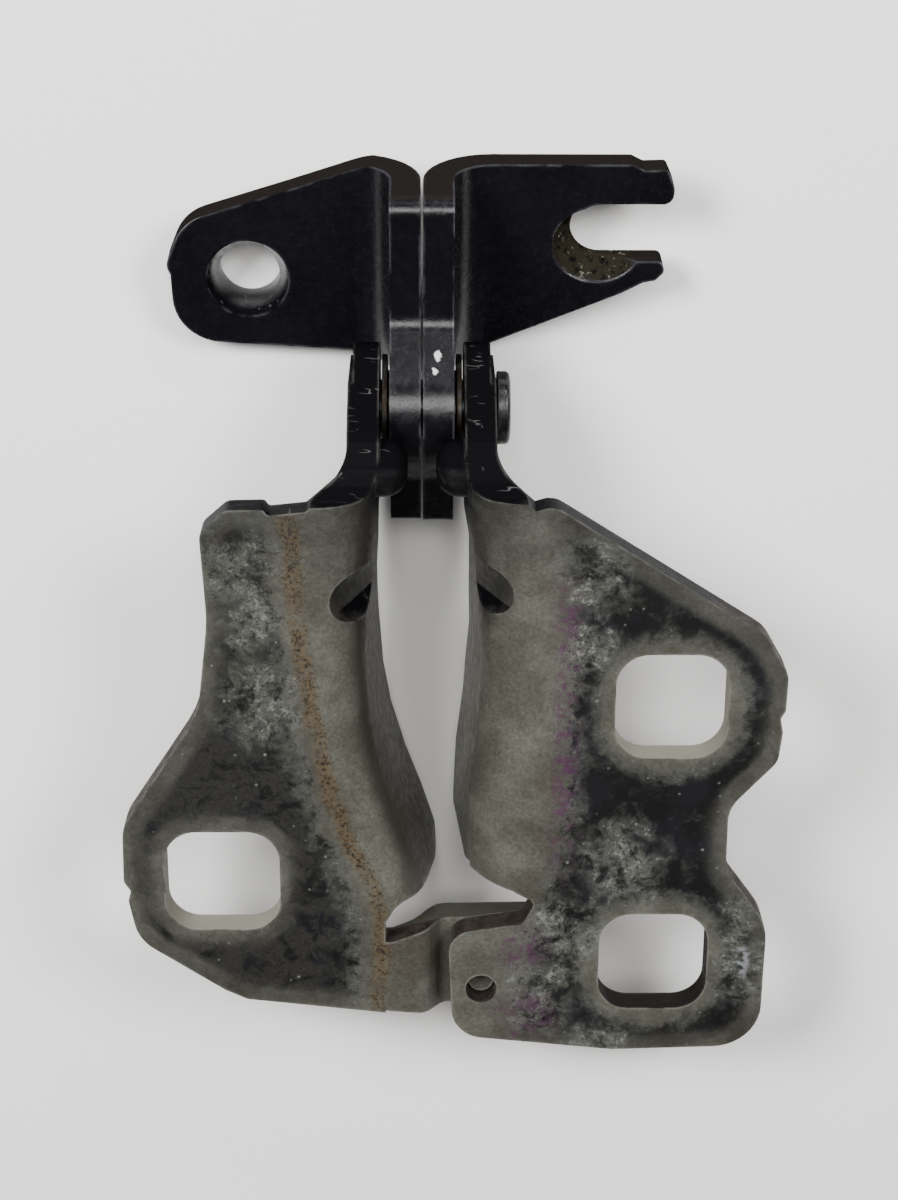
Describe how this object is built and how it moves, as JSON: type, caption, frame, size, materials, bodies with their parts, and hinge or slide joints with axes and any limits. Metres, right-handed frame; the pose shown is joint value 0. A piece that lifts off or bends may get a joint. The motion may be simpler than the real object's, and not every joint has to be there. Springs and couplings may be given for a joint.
{
  "type": "lift-up closure hinge",
  "caption": "Pressed-steel closure hinge: back-to-back black lid arms swing on a riveted pin between two olive-grey body brackets with square adjusting holes.",
  "frame": {"origin": "on the right body bracket's mounting face, midway between its two square bolt holes", "axes": "+X along the pin towards its head, +Y from the body brackets towards the lid arms, +Z out of the body mounting faces"},
  "size_m": [0.0864, 0.1163, 0.0387],
  "materials": {
    "olive_primer": "olive-grey electrocoat primer, stained and rubbed",
    "black_paint": "gloss black paint",
    "pin_steel": "dark painted steel",
    "bush_bronze": "dull sintered bronze"
  },
  "bodies": {
    "body_side": {"body_bracket_left": "olive_primer", "body_bracket_right": "olive_primer", "pivot_pin": "pin_steel"},
    "lid_side": {"lid_arm_left": "black_paint", "lid_arm_right": "black_paint", "pivot_bush_left": "bush_bronze", "pivot_bush_right": "bush_bronze"}
  },
  "joints": [
    {"name": "lid_swing", "type": "hinge", "parent": "body_side", "child": "lid_side", "pos_m": [-0.03165, 0.05285, -0.02], "axis": [1, 0, 0], "range_deg": [-40, 82]}
  ]
}
